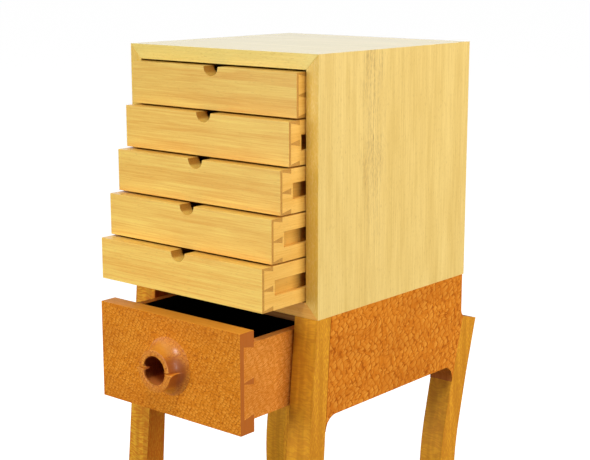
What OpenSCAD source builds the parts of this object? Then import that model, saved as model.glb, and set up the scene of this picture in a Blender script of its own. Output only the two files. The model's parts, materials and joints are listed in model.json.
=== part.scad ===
// Cabinet on a stand: a mitred case with five side-hung drawers, standing on a frame
// of sculpted legs and aprons that holds one deep drawer with a carved pull.
// Millimetres, +Z up, +Y to the back. Every piece is drawn from the middle of the case's
// front edge on the stand's top, and place() sets it on the floor.

/* [Case] */
// Width of the case and of the stand
case_w = 400; // [340:5:480]
// Depth of the case
case_d = 402; // [340:2:460]
// Thickness of the mitred case boards
case_t = 24; // [20:1:30]
// Thickness of the back panel
back_t = 10; // [6:1:12]
// How far the back panel is let into the case boards
back_lap = 10; // [6:1:12]

/* [Small drawers] */
// Height of each small drawer
drawer_h = 67.5; // [60:0.5:84]
// Gap above and below each small drawer
drawer_gap = 2.75; // [2:0.25:4]
// Gap beside each drawer front, in the case
drawer_side_gap = 1.3; // [0.8:0.1:2.5]
// Thickness of the small drawer fronts
front_t = 24.5; // [20:0.5:28]
// Wood left in front of the dovetails
front_lap = 4.5; // [3:0.5:6]
// Thickness of the small drawer sides
side_t = 12; // [11:0.5:14]
// Thickness of the small drawer backs
rear_t = 12; // [9:0.5:14]
// How far the drawer back stops below the drawer's top edge
rear_drop = 4; // [2:1:8]
// Space behind a shut small drawer
rear_gap = 12; // [4:1:30]
// Thickness of the small drawer bottoms
bottom_t = 4; // [3:0.5:6]
// Height of a drawer bottom above the lower edge of the sides
bottom_up = 6; // [5:0.5:8]
// How far a drawer bottom is let into the sides
bottom_in = 5; // [3:0.5:5.5]
// Radius of the finger notch
notch_r = 15; // [11:0.5:18]
// How far each drawer stands out, from the top one down
drawer_out = [19.6, 37.2, 56.8, 76.8, 98]; // [0:0.2:160]

/* [Runners] */
// Height of the groove along each small drawer side
groove_h = 24; // [18:1:28]
// Depth of that groove
groove_in = 8; // [6:0.5:9]
// Distance from the dovetails to the groove's stopped end
groove_stop = 3.5; // [2:0.5:10]
// Running clearance between a runner and its groove
run_gap = 0.3; // [0.2:0.1:0.6]
// Radius of the runner screws
screw_r = 2; // [1.5:0.25:2.5]
// Length of the runner screws
screw_len = 24; // [18:1:26]

/* [Dovetails] */
// Width of a pin's narrow end
pin_tip = 1.8; // [1:0.2:4]
// Height of the half pins' narrow end
half_tip = 3.2; // [2:0.2:4]
// How much a pin widens on each side per mm of length
pin_slope = 0.2; // [0.12:0.01:0.22]

/* [Stand] */
// Height of the stand from the floor
stand_h = 520; // [460:5:600]
// Width of the legs and thickness of the aprons
leg_w = 46; // [36:1:56]
// Height of the side aprons
apron_h = 160; // [156:1:190]
// How far the aprons stop short of the back of the case
apron_inset = 4; // [1:1:6]
// Depth of a front leg at its top
front_leg_top = 33; // [28:1:40]
// Depth of a front leg at its foot
front_leg_foot = 46; // [34:1:56]
// How far a front leg rakes forward over its height
front_rake = 48; // [20:2:60]
// Depth of a rear leg, square to its curve
rear_leg_t = 43.5; // [34:0.5:46]
// Lean of the straight upper part of a rear leg
rear_lean = 15.4; // [10:0.2:18]
// Radius of the front of a rear leg's curve
rear_bow_r = 500; // [420:10:600]
// Height below the stand's top of the point where a rear leg stands upright
rear_waist = 388; // [370:2:400]
// How far in front of the case's back the front of a rear leg is at that point
rear_waist_in = 65; // [55:1:80]
// Height below the stand's top of the rear leg's top end
rear_top_drop = 76.5; // [66:0.5:90]
// How far each rear foot flares out past the stand's side
rear_splay = 8; // [0:1:14]
// Radius under the apron at the front leg
fillet_front = 25; // [20:1:44]
// Radius under the apron at the rear leg
fillet_rear = 24; // [16:1:36]
// Height of the straight upper part of the apron's rear end
apron_rear_straight = 63; // [40:1:64]

/* [Drawer frame] */
// Height of the rails above the deep drawer
top_rail_h = 20; // [16:1:24]
// Height of the rails under the deep drawer
low_rail_h = 12; // [9:0.5:14]
// Height of those rails above the lower edge of the aprons
low_rail_up = 5.7; // [2:0.1:12]
// Width of the rails from front to back
rail_w = 45; // [30:1:60]
// Width of the kickers and bearers
bearer_w = 32; // [26:1:50]
// Thickness of the rear apron
rear_apron_t = 24; // [18:1:26]
// Gap between the shut deep drawer front and the rails it stops on
stop_gap = 0.6; // [0.3:0.1:1]

/* [Deep drawer] */
// Thickness of the deep drawer front
deep_front_t = 30.4; // [24:0.2:34]
// Wood left in front of its dovetails
deep_lap = 8.2; // [6:0.2:10]
// Gap beside the deep drawer
deep_side_gap = 2; // [1:0.25:3]
// Gap between the deep drawer front and the case
deep_top_gap = 3.5; // [2:0.25:5]
// How far the deep drawer front reaches below the aprons
deep_drop = 2.5; // [0:0.5:6]
// Gap above the deep drawer sides
deep_kick_gap = 2; // [1:0.25:3]
// Thickness of the deep drawer sides and back
deep_side_t = 15; // [12:0.5:18]
// Thickness of the deep drawer bottom
deep_bottom_t = 6; // [4:0.5:9]
// Height of the deep drawer bottom above the lower edge of the sides
deep_bottom_up = 9; // [7:0.5:12]
// Space behind the shut deep drawer
deep_rear_gap = 10; // [4:1:30]
// How far the deep drawer stands out
deep_out = 122.4; // [0:0.4:160]

/* [Pull] */
// How far the pull stands out from its drawer front
pull_len = 31; // [24:1:40]
// Radius of the upper lip
lip_r = 32.6; // [29:0.2:35]
// Extra radius of the lower lip
lip_step = 2; // [0:0.2:3]
// How far the corners of the lower lip curl out
lip_corner = 6.5; // [2:0.5:9]
// Radius of the flared base
pull_base_r = 47; // [43:0.5:56]
// Radius of the bore
bore_r = 23.3; // [19:0.1:25]
// Depth of the bore
bore_depth = 40; // [20:1:42]
// Height of the ridges along the bore, behind the corners
bore_ridge = 7.2; // [0:0.2:8]
// Radius of the spigot let into the drawer front
spigot_r = 28; // [26.5:0.5:32]
// Length of that spigot
spigot_len = 20; // [18:1:24]
// Radius of the screw that holds the pull
pull_screw_r = 2.5; // [2:0.25:3]

/* [Hidden] */
$fn = 96;
count = 5;
eps = 0.01;
fit = 0.1;
half_w = case_w/2;
pitch = drawer_h + drawer_gap;
case_h = 2*case_t + count*pitch + drawer_gap;
inner_w = half_w - case_t;

small_w = 2*(inner_w - drawer_side_gap);
small_len = case_d - back_t - rear_gap;
groove_y = front_t + groove_stop;
runner_t = drawer_side_gap + groove_in - run_gap;
runner_h = groove_h - 2*run_gap;
runner_end_gap = 2;
runner_screw_y = [0.12, 0.88];
middle_pin = [0.5];
rear_pin_step = groove_h/2 + 6.5;
small_rear_pins = [0.5 - rear_pin_step/drawer_h, 0.5 + rear_pin_step/drawer_h];

deep_w = 2*(half_w - leg_w - deep_side_gap);
deep_front_h = apron_h - deep_top_gap + deep_drop;
deep_side_h = apron_h - top_rail_h - deep_kick_gap - run_gap - low_rail_h - low_rail_up;
deep_side_z = apron_h + deep_drop - top_rail_h - deep_kick_gap - deep_side_h;
deep_len = case_d - apron_inset - rear_apron_t - deep_rear_gap;
deep_rear_pins = [0.3, 0.58, 0.86];
low_rail_z = low_rail_up + low_rail_h - apron_h;
rail_y = deep_front_t + stop_gap;
inner_leg = half_w - leg_w;

lean_rise = tan(rear_lean);
rear_waist_y = case_d - rear_waist_in;
bow_c = [rear_waist_y + rear_bow_r, -rear_waist];
bow_dir = [-cos(rear_lean), sin(rear_lean)];
bow_in_r = rear_bow_r - rear_leg_t;
bow_top = bow_c + rear_bow_r*bow_dir;
rear_top = [bow_top.x + lean_rise*(-rear_top_drop - bow_top.y), -rear_top_drop];
rear_top_back = rear_top - rear_leg_t*bow_dir;
bow_n = 28;
front_back_slope = (front_leg_top + front_rake - front_leg_foot)/stand_h;

front_reach = -deep_out - pull_len;
back_reach = rear_top_back.x;
middle_y = (front_reach + back_reach)/2;

case_screw_x = 0.7*inner_leg;
case_screw_len = top_rail_h + 0.6*case_t;

pull_n = 72;
pull_rings = 11;
corner_step = 1.2;
lip_fade = 0.8;
curl_angle = 6.5;
ridge_angle = 9;
mouth_flare = 1.5;
ridge_from = 0.8;
ridge_to = 8;
bore_stations = [bore_depth, (bore_depth + ridge_to)/2, ridge_to, (ridge_to + ridge_from)/2, ridge_from, 0];
bore_end = bore_depth - pull_len;
pull_core = spigot_len - bore_end;
pull_hole_len = 0.8*pull_core;
pull_screw_len = deep_front_t - spigot_len + 0.7*pull_core;
screw_head_h = 3;

pale = [0.95, 0.85, 0.55];
golden = [0.90, 0.74, 0.40];
amber = [0.97, 0.78, 0.38];
lace = [0.86, 0.54, 0.16];
leg_brown = [0.80, 0.58, 0.20];
steel = [0.62, 0.60, 0.55];

drawer_parts = ["front", "side_left", "side_right", "back", "bottom"];

// ---------- placing ----------

// From the middle of the case's front edge on the stand's top to the floor
module place() translate([0, -middle_y, stand_h]) children();

// An outline in the Y-Z plane given a thickness along X, from x up
module slab(x, t) translate([x, 0, 0]) rotate([90, 0, 90]) linear_extrude(t) children();

// An outline in the X-Z plane given a thickness along Y, from y back
module board(y, t) translate([0, y + t, 0]) rotate([90, 0, 0]) linear_extrude(t) children();

// side is 1 for the right and -1 for the left
module on_side(side) mirror([side < 0 ? 1 : 0, 0, 0]) children();

// ---------- case ----------

module back_box() translate([-inner_w - back_lap, case_d - back_t, case_t - back_lap])
    cube([2*(inner_w + back_lap), back_t, case_h - 2*(case_t - back_lap)]);

// The top board, mitred at both ends
module top_outline() polygon([[-half_w, case_h], [half_w, case_h],
    [inner_w, case_h - case_t], [-inner_w, case_h - case_t]]);

module side_outline() polygon([[half_w, 0], [half_w, case_h],
    [inner_w, case_h - case_t], [inner_w, case_t]]);

module case_top() color(pale) place() difference() {
    board(0, case_d) top_outline();
    back_box();
}

module case_bottom() color(pale) place() difference() {
    board(0, case_d) polygon([[-half_w, 0], [half_w, 0], [inner_w, case_t], [-inner_w, case_t]]);
    back_box();
    case_screw_set(fit);
}

module case_side(side) color(pale) place() on_side(side) difference() {
    board(0, case_d) side_outline();
    back_box();
    runner_screw_set(fit);
}

module case_back() color(golden) place() back_box();

// ---------- runners ----------

function runner_len() = case_d - back_t - runner_end_gap - groove_y - run_gap;
function drawer_z(i) = case_t + drawer_gap + (count - i)*pitch;

// A countersunk screw along X with its head's face at x = 0, pointing to +X
module wood_screw(r, len, slack) rotate([0, 90, 0]) {
    translate([0, 0, -slack]) cylinder(h = len + 2*slack, r = r + slack);
    cylinder(h = r, r1 = 2*r + slack, r2 = r + slack);
}

module runner_screw_set(slack) for (i = [1:count]) for (s = runner_screw_y)
    translate([inner_w - runner_t, groove_y + run_gap + s*runner_len(),
               drawer_z(i) + drawer_h/2])
        wood_screw(screw_r, screw_len, slack);

module runners(side) color(golden) place() on_side(side) difference() {
    for (i = [1:count])
        translate([inner_w - runner_t, groove_y + run_gap, drawer_z(i) + (drawer_h - runner_h)/2])
            cube([runner_t, runner_len(), runner_h]);
    runner_screw_set(fit);
}

module runner_screws() color(steel) place() for (side = [-1, 1])
    on_side(side) runner_screw_set(0);

// ---------- stand ----------

module front_leg_outline() polygon([[0, 0], [front_leg_top, 0],
    [front_leg_foot - front_rake, -stand_h], [-front_rake, -stand_h]]);

module leg_front(side) color(leg_brown) place() on_side(side)
    slab(inner_leg, leg_w) front_leg_outline();

// The rear leg from the side: a straight upper part that runs into a bow. Its edges are two
// arcs about one centre, with bow_n steps each, closed by the square top end
function bow_arc(r) = [for (i = [0:bow_n])
    let (a = rear_lean + (bow_foot(r) - rear_lean)*i/bow_n) bow_c + r*[-cos(a), sin(a)]];
function bow_foot(r) = -asin((stand_h - rear_waist)/r);

module rear_leg_outline() {
    inner = bow_arc(bow_in_r);
    polygon(concat([rear_top], bow_arc(rear_bow_r), [for (i = [bow_n:-1:0]) inner[i]],
                   [rear_top_back]));
}

// The rear leg from behind: plumb beside the apron and flared below it
module rear_leg_face() {
    z = -apron_h - fillet_rear;
    polygon([[inner_leg, 0], [half_w, 0], [half_w, z], [half_w + rear_splay, -stand_h],
             [inner_leg + rear_splay, -stand_h], [inner_leg, z]]);
}

module leg_rear(side) color(leg_brown) place() on_side(side) intersection() {
    slab(inner_leg, leg_w + rear_splay) rear_leg_outline();
    board(rear_waist_y - rear_leg_t, 4*rear_leg_t) rear_leg_face();
}

// Centres of the round corners under an apron, tangent to its lower edge and to the legs
front_root = sqrt(1 + front_back_slope*front_back_slope);
fillet_f = [front_leg_top - front_back_slope*(apron_h + fillet_front) + fillet_front*front_root,
            -apron_h - fillet_front];
fillet_r = [rear_top.x - lean_rise*(apron_h + fillet_rear - rear_top_drop)
            - fillet_rear/cos(rear_lean), -apron_h - fillet_rear];
apron_end = case_d - apron_inset;
hook = [rear_top.x - apron_end, rear_top_drop - apron_rear_straight];
hook_r = (hook.x*hook.x + hook.y*hook.y)/(2*hook.x);

// Everything below the apron that its round corners leave open
module apron_void() {
    deep = 2*max(fillet_front, fillet_rear);
    ff = fillet_f + fillet_front*[-1, front_back_slope]/front_root;
    rr = fillet_r + fillet_rear*[cos(rear_lean), -sin(rear_lean)];
    polygon([[fillet_f.x, -apron_h], [fillet_r.x, -apron_h], rr, rr + [10, -deep],
             ff + [-10, -deep], ff]);
    translate(fillet_f) circle(r = fillet_front);
    translate(fillet_r) circle(r = fillet_rear);
}

module apron_outline() difference() {
    low = -apron_h - max(fillet_front, fillet_rear) - 10;
    polygon([[front_leg_top, 0], [apron_end, 0], [apron_end, -apron_rear_straight], rear_top,
             [rear_top.x + lean_rise*(low + rear_top_drop), low],
             [front_leg_top + front_back_slope*low, low]]);
    apron_void();
    translate([apron_end + hook_r, -apron_rear_straight]) circle(r = hook_r);
}

module apron(side) color(lace) place() on_side(side) slab(inner_leg, leg_w) apron_outline();

module apron_rear() color(lace) place()
    translate([-inner_leg, apron_end - rear_apron_t, -apron_h])
        cube([2*inner_leg, rear_apron_t, apron_h]);

// ---------- drawer frame ----------

rear_rail_y = apron_end - rear_apron_t - rail_w;
module rail(y, z, h) translate([-inner_leg, y, z]) cube([2*inner_leg, rail_w, h]);
module bearer_box(z, h) translate([inner_leg - bearer_w, rail_y + rail_w, z])
    cube([bearer_w, rear_rail_y - rail_y - rail_w, h]);

// Screws up through the top rails into the case
module case_screw_set(slack) for (x = [-1, 1]) for (y = [rail_y, rear_rail_y])
    translate([x*case_screw_x, y + rail_w/2, -top_rail_h]) rotate([0, -90, 0])
        wood_screw(pull_screw_r, case_screw_len, slack);

module rail_top_front() color(lace) place() difference() {
    rail(rail_y, -top_rail_h, top_rail_h);
    case_screw_set(fit);
}

module rail_top_rear() color(lace) place() difference() {
    rail(rear_rail_y, -top_rail_h, top_rail_h);
    case_screw_set(fit);
}

module rail_low_front() color(lace) place() rail(rail_y, low_rail_z - low_rail_h, low_rail_h);
module rail_low_rear() color(lace) place() rail(rear_rail_y, low_rail_z - low_rail_h, low_rail_h);
module kicker(side) color(lace) place() on_side(side) bearer_box(-top_rail_h, top_rail_h);
module bearer(side) color(lace) place() on_side(side)
    bearer_box(low_rail_z - low_rail_h, low_rail_h);
module case_screws() color(steel) place() case_screw_set(0);

// ---------- dovetailed drawers ----------
// A drawer is a list: [width, front height, front thickness, lap, side thickness, side foot,
// side height, length, rear thickness, bottom thickness, bottom height, pins, rear pins]
small = [small_w, drawer_h, front_t, front_lap, side_t, 0, drawer_h, small_len, rear_t,
         bottom_t, bottom_up, middle_pin, small_rear_pins];
deep = [deep_w, deep_front_h, deep_front_t, deep_lap, deep_side_t, deep_side_z, deep_side_h,
        deep_len, deep_side_t, deep_bottom_t, deep_bottom_up, middle_pin, deep_rear_pins];
function width(d) = d[0];
function face_h(d) = d[1];
function face_t(d) = d[2];
function lap(d) = d[3];
function wall(d) = d[4];
function foot(d) = d[5];
function wall_h(d) = d[6];
function len_y(d) = d[7];
function rear(d) = d[8];
function floor_t(d) = d[9];
function floor_z(d) = foot(d) + d[10];
function pins(d) = d[11];
function rear_pins(d) = d[12];

// One pin: narrow at y0 and wide at y1
module pin(y0, y1, z, tip) {
    flare = pin_slope*abs(y1 - y0);
    polygon([[y0, z - tip/2], [y0, z + tip/2], [y1, z + tip/2 + flare], [y1, z - tip/2 - flare]]);
}

// The pins of the drawer front, with a half pin at each edge
module front_pins(d) {
    z0 = foot(d);
    z1 = foot(d) + wall_h(d);
    intersection() {
        translate([lap(d), z0]) square([face_t(d) - lap(d), wall_h(d)]);
        union() {
            for (p = pins(d)) pin(lap(d), face_t(d), z0 + p*wall_h(d), pin_tip);
            pin(lap(d), face_t(d), z0, 2*half_tip);
            pin(lap(d), face_t(d), z1, 2*half_tip);
        }
    }
}

// The pins of the drawer back, which run right through the sides
module back_pins(d) for (p = rear_pins(d))
    pin(len_y(d), len_y(d) - rear(d), foot(d) + p*wall_h(d), pin_tip);

module floor_panel(d) translate([-width(d)/2 + wall(d) - bottom_in, face_t(d) - bottom_in - 1,
                                 floor_z(d)])
    cube([width(d) - 2*wall(d) + 2*bottom_in, len_y(d) - face_t(d) + bottom_in + 1, floor_t(d)]);

module drawer_front(d) difference() {
    translate([-width(d)/2, 0, 0]) cube([width(d), face_t(d), face_h(d)]);
    for (side = [-1, 1]) on_side(side) slab(width(d)/2 - wall(d), wall(d) + eps) difference() {
        translate([lap(d), foot(d) - (foot(d) > 0 ? 0 : eps)])
            square([face_t(d) - lap(d) + eps, wall_h(d) + (foot(d) > 0 ? 0 : 2*eps)]);
        front_pins(d);
    }
    floor_panel(d);
}

module drawer_side(d) difference() {
    slab(width(d)/2 - wall(d), wall(d)) difference() {
        translate([lap(d), foot(d)]) square([len_y(d) - lap(d), wall_h(d)]);
        front_pins(d);
        back_pins(d);
    }
    floor_panel(d);
}

module drawer_back(d) {
    z = floor_z(d) + floor_t(d);
    translate([-width(d)/2 + wall(d), len_y(d) - rear(d), z])
        cube([width(d) - 2*wall(d), rear(d), foot(d) + wall_h(d) - rear_drop - z]);
    for (side = [-1, 1]) on_side(side) slab(width(d)/2 - wall(d), wall(d)) back_pins(d);
}

// ---------- small drawers ----------

module place_small(i) place() translate([0, -drawer_out[i - 1], drawer_z(i)]) children();

module small_front(i) color(golden) place_small(i) difference() {
    drawer_front(small);
    translate([0, -1, drawer_h]) rotate([-90, 0, 0]) cylinder(h = front_t + 2, r = notch_r);
}

module small_side(i, side) color(amber) place_small(i) on_side(side) difference() {
    drawer_side(small);
    translate([small_w/2 - groove_in, groove_y, (drawer_h - groove_h)/2])
        cube([groove_in + 1, small_len, groove_h]);
}

module small_back(i) color(amber) place_small(i) drawer_back(small);
module small_bottom(i) color(pale) place_small(i) floor_panel(small);

// ---------- deep drawer ----------

module place_deep() place() translate([0, -deep_out, -deep_top_gap - deep_front_h]) children();

module deep_front() color(lace) place_deep() difference() {
    drawer_front(deep);
    translate([0, -1, deep_front_h/2]) rotate([-90, 0, 0]) {
        cylinder(h = spigot_len + run_gap + 1, r = spigot_r + run_gap/2);
        cylinder(h = deep_front_t + 2, r = pull_screw_r + fit);
    }
}

module deep_side(side) color(lace) place_deep() on_side(side) drawer_side(deep);
module deep_back() color(lace) place_deep() drawer_back(deep);
module deep_bottom() color(pale) place_deep() floor_panel(deep);

// ---------- pull ----------
// A hollow two-lipped horn. Its radius is a function of the angle a round the bore, with 0 at
// the right and 90 at the top, and of the share t of the way from the rim to the base.

function from_corner(a) = min(a, abs(a - 180), 360 - a);
function fade(t, end) = t >= end ? 0 : pow(1 - t/end, 1.5);
function flare(t) = 1 - sqrt(1 - t*t);
function lower(k) = k > pull_n/2 ? 1 : 0;
// Angles go round in equal steps, with a second point just past each corner for the lower lip
function ring_angle(k) = k <= pull_n/2 ? k*360/pull_n
    : k == pull_n/2 + 1 ? 180 + corner_step
    : k == pull_n + 1 ? 360 - corner_step : (k - 1)*360/pull_n;
function horn_r(k, t) = let (a = ring_angle(k), g = flare(t),
        curl = lip_corner*exp(-from_corner(a)/curl_angle),
        low = lower(k)*(lip_step + curl)*fade(t, lip_fade))
    (1 - g)*(lip_r + low) + g*pull_base_r;
function bore_at(k, y) = let (near = exp(-from_corner(ring_angle(k))/ridge_angle),
        rise = min(1, max(0, (y - ridge_from)/(ridge_to - ridge_from))))
    bore_r + near*(mouth_flare*(1 - min(1, y/ridge_to)) - bore_ridge*rise);
function ring_point(k, r, y) = let (a = ring_angle(k)) [r*cos(a), y, r*sin(a)];
ring_n = pull_n + 2;
function horn_ring(t) = [for (k = [0:ring_n - 1])
    ring_point(k, horn_r(k, t), -pull_len*(1 - t))];
function bore_ring(y) = [for (k = [0:ring_n - 1])
    ring_point(k, bore_at(k, y), y - pull_len)];
function round_ring(r, y) = [for (k = [0:ring_n - 1]) ring_point(k, r, y)];

module pull() color(lace) place_deep() translate([0, 0, deep_front_h/2]) {
    rings = concat(
        [for (y = bore_stations) bore_ring(y)],
        [for (j = [0:pull_rings]) horn_ring(sin(90*j/pull_rings))],
        [round_ring(spigot_r, 0), round_ring(spigot_r, spigot_len),
         round_ring(pull_screw_r + fit, spigot_len),
         round_ring(pull_screw_r + fit, spigot_len - pull_hole_len)]);
    m = len(rings);
    points = concat([[0, bore_end, 0]], [for (r = rings) each r],
                    [[0, spigot_len - pull_hole_len, 0]]);
    quads = [for (i = [0:m - 2]) for (k = [0:ring_n - 1])
        let (a = 1 + i*ring_n + k, b = 1 + i*ring_n + (k + 1)%ring_n)
        each [[a, b, b + ring_n], [a, b + ring_n, a + ring_n]]];
    caps = [for (k = [0:ring_n - 1]) let (l = (k + 1)%ring_n)
        each [[0, 1 + l, 1 + k],
              [len(points) - 1, 1 + (m - 1)*ring_n + k, 1 + (m - 1)*ring_n + l]]];
    polyhedron(points, concat(quads, caps));
}

module pull_screw() color(steel) place_deep() translate([0, deep_front_t, deep_front_h/2])
    rotate([90, 0, 0]) {
        translate([0, 0, -screw_head_h]) cylinder(h = screw_head_h, r = 2*pull_screw_r);
        cylinder(h = pull_screw_len, r = pull_screw_r);
    }

// ---------- what is drawn ----------

case_top();
case_bottom();
case_side(-1);  // case_side_left
case_side(1);  // case_side_right
case_back();
runners(-1);  // runners_left
runners(1);  // runners_right
runner_screws();
leg_front(-1);  // leg_front_left
leg_front(1);  // leg_front_right
leg_rear(-1);  // leg_rear_left
leg_rear(1);  // leg_rear_right
apron(-1);  // apron_left
apron(1);  // apron_right
apron_rear();
rail_top_front();
rail_top_rear();
kicker(-1);  // kicker_left
kicker(1);  // kicker_right
rail_low_front();
rail_low_rear();
bearer(-1);  // bearer_left
bearer(1);  // bearer_right
case_screws();
for (i = [1:count]) {
    name = str("drawer_", i, "_");
    small_front(i);
    small_side(i, -1);
    small_side(i, 1);
    small_back(i);
    small_bottom(i);
}
deep_front();
deep_side(-1);  // deep_side_left
deep_side(1);  // deep_side_right
deep_back();
deep_bottom();
pull();
pull_screw();
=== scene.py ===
"""Looks of the drawer cabinet: eased boards, a turned and carved pull, screws, woods, stage and light.

Every size is in metres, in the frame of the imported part: +Z up, +Y to the back, the floor at z = 0.
"""

import json
import math

import bmesh
import bpy
from bpy.props import FloatProperty, FloatVectorProperty, IntProperty, PointerProperty
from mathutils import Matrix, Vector

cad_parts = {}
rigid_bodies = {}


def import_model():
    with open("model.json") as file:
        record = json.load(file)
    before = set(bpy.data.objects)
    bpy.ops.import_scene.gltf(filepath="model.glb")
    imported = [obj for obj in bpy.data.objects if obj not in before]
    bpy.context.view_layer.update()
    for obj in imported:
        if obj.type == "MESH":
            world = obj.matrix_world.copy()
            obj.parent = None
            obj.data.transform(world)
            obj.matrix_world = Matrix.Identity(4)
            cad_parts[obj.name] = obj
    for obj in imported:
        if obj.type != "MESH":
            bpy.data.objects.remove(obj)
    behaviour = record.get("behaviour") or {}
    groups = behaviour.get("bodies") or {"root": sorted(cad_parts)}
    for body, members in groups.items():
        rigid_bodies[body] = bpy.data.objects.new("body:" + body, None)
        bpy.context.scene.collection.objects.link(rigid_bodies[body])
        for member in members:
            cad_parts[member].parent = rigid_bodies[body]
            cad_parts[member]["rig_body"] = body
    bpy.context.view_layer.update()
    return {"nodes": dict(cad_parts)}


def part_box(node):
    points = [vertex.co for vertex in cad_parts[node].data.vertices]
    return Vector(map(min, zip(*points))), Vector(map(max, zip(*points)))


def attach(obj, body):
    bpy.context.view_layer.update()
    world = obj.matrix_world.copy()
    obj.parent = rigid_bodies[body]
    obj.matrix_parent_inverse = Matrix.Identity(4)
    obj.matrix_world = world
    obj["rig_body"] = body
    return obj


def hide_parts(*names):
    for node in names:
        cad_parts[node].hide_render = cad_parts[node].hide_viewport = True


bl_info = {
    "name": "Drawer cabinet on a stand",
    "version": (1, 0, 0),
    "blender": (4, 5, 0),
    "location": "View3D > Sidebar > Cabinet",
    "description": "Dresses the boards, drawers, pull and screws of a small cabinet, and lights it",
    "category": "Object",
}

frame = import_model()

MM = 0.001
DRAWERS = 5
MATH, VECTOR, RANGE, MIX = "ShaderNodeMath", "ShaderNodeVectorMath", "ShaderNodeMapRange", "ShaderNodeMix"
# An edge that turns by more than this is an arris
ARRIS = math.radians(40)
# Points nearer than this are one point
WELD = 0.001 * MM
CASE_BOARDS = ("case_top", "case_bottom", "case_side_left", "case_side_right")
LEGS = ("leg_front_left", "leg_front_right", "leg_rear_left", "leg_rear_right")
RAILS = ("rail_top_front", "rail_top_rear", "rail_low_front", "rail_low_rear",
         "kicker_left", "kicker_right", "bearer_left", "bearer_right")


def linear(text):
    """An sRGB hex colour as the linear values that Blender works in."""
    shares = [int(text[i:i + 2], 16) / 255 for i in (1, 3, 5)]
    return tuple(s / 12.92 if s <= 0.04045 else ((s + 0.055) / 1.055) ** 2.4 for s in shares) + (1.0,)


def toned(shade, tone):
    """A linear colour made lighter or darker by a factor."""
    return tuple(min(1.0, share * tone) for share in shade[:3]) + (1.0,)


def colour(name, text, about):
    """A setting that holds a colour, given as sRGB hex."""
    return FloatVectorProperty(name=name, description=about, subtype="COLOR", size=4, min=0, max=1,
                               default=linear(text))


def length(name, mm, about):
    """A setting that holds a length, given in millimetres."""
    return FloatProperty(name=name, description=about, default=mm * MM, min=0, unit="LENGTH", precision=5)


# ---------- what a user may change ----------

class CabinetWoods(bpy.types.PropertyGroup):
    """Colours and figure sizes of the woods"""
    case_light: colour("Case, early wood", "#F6D683", "Pale ground of the quarter-sawn case boards")
    case_dark: colour("Case, late wood", "#E3BE68", "Growth lines of the quarter-sawn case boards")
    top_light: colour("Case top, early wood", "#F4DB80", "Ground of the case's top board")
    top_dark: colour("Case top, late wood", "#DDC86C", "Growth lines of that board")
    # Painted shade and bounce light: the bottom board's colours are redder, for its front edge that lies in
    # shade under the drawers
    bottom_painted_bounce_light: colour("Case bottom, early wood", "#F4C262", "Ground of the case's bottom board, redder with painted shade and bounce light")
    bottom_painted_bounce_dark: colour("Case bottom, late wood", "#E2A240", "Growth lines of that board")
    front_light: colour("Drawer front, early wood", "#F0CE68", "Ground of the small drawer fronts")
    front_dark: colour("Drawer front, late wood", "#E0A948", "Growth lines of the small drawer fronts")
    side_light: colour("Drawer side, early wood", "#F6C462", "Ground of the small drawer sides")
    side_dark: colour("Drawer side, late wood", "#E7AC48", "Growth lines of the small drawer sides")
    apron_ground: colour("Apron ground", "#D67B1C", "Wood between the rays of the aprons")
    apron_fleck: colour("Apron fleck", "#E99834", "Light face of a cut ray on the aprons")
    apron_line: colour("Apron line", "#AC560C", "Dark edge beside a cut ray on the aprons")
    front_ground: colour("Deep front ground", "#DB821A", "Wood between the rays of the deep drawer front")
    front_fleck: colour("Deep front fleck", "#EFA136", "Light face of a cut ray on that front")
    front_line: colour("Deep front line", "#B65E14", "Dark edge beside a cut ray on that front")
    deep_ground: colour("Deep side ground", "#D68129", "Wood between the rays of the deep drawer's sides")
    deep_fleck: colour("Deep side fleck", "#EFA14C", "Light face of a cut ray on those sides")
    deep_line: colour("Deep side line", "#BC681A", "Dark edge beside a cut ray on those sides")
    leg_ground: colour("Leg ground", "#D48A26", "Wood between the flecks of the legs")
    leg_fleck: colour("Leg fleck", "#E9A62C", "Pale ripple and flecks of the legs")
    leg_line: colour("Leg line", "#B46E18", "Darker bands down the legs")
    # Painted shade: the front left leg's colours are redder, for the shade on its side under the deep drawer
    red_shade_ground: colour("Red leg ground", "#D8761C", "Wood between the flecks of the front left leg, painted redder for its shade")
    red_shade_fleck: colour("Red leg fleck", "#F2B436", "Pale ripple and flecks of that leg")
    red_shade_line: colour("Red leg line", "#B4621A", "Darker bands down that leg")
    apron_cell: length("Apron fleck length", 13.0, "Length of a fleck on the aprons, along the grain")
    front_cell: length("Deep front fleck length", 7.0, "Length of a fleck on the deep drawer front")


class CabinetShapes(bpy.types.PropertyGroup):
    """Easing of the edges and the pull's shape"""
    board_ease: length("Board easing", 0.5, "Radius on the edges of the case, drawers and aprons")
    leg_ease: length("Leg easing", 1.4, "Radius on the long arrises of the legs")
    lip_r: length("Upper lip", 32.6, "Radius of the pull's upper lip")
    lip_step: length("Lip step", 2.0, "Extra radius of the lower lip")
    lip_curl: length("Lip curl", 6.5, "How far the corners of the lower lip curl out")
    base_r: length("Flare", 47.0, "Radius of the flare on the drawer front")
    bore_r: length("Bore", 23.3, "Radius of the bore")
    bore_depth: length("Bore depth", 40.0, "Depth of the bore from the rim")
    bore_ridge: length("Bore ridge", 7.2, "Height of the ridges behind the corners")
    around: IntProperty(name="Steps round", description="Faces round the pull", default=720, min=48)
    slit: length("Slit", 6.0, "Depth of the slit cut in the rim between the upper and lower lips")
    spigot_r: length("Spigot", 28.0, "Radius of the spigot let into the drawer front")
    hole_r: length("Screw hole", 2.6, "Radius of the screw hole in the spigot")
    hole_length: length("Screw hole depth", 8.8, "Depth of that hole")
    rim_ease: length("Rim easing", 0.8, "Radius on the edges of the pull's rim")
    recess: length("Screw recess", 1.2, "Depth of the cross cut in a screw head")


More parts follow.
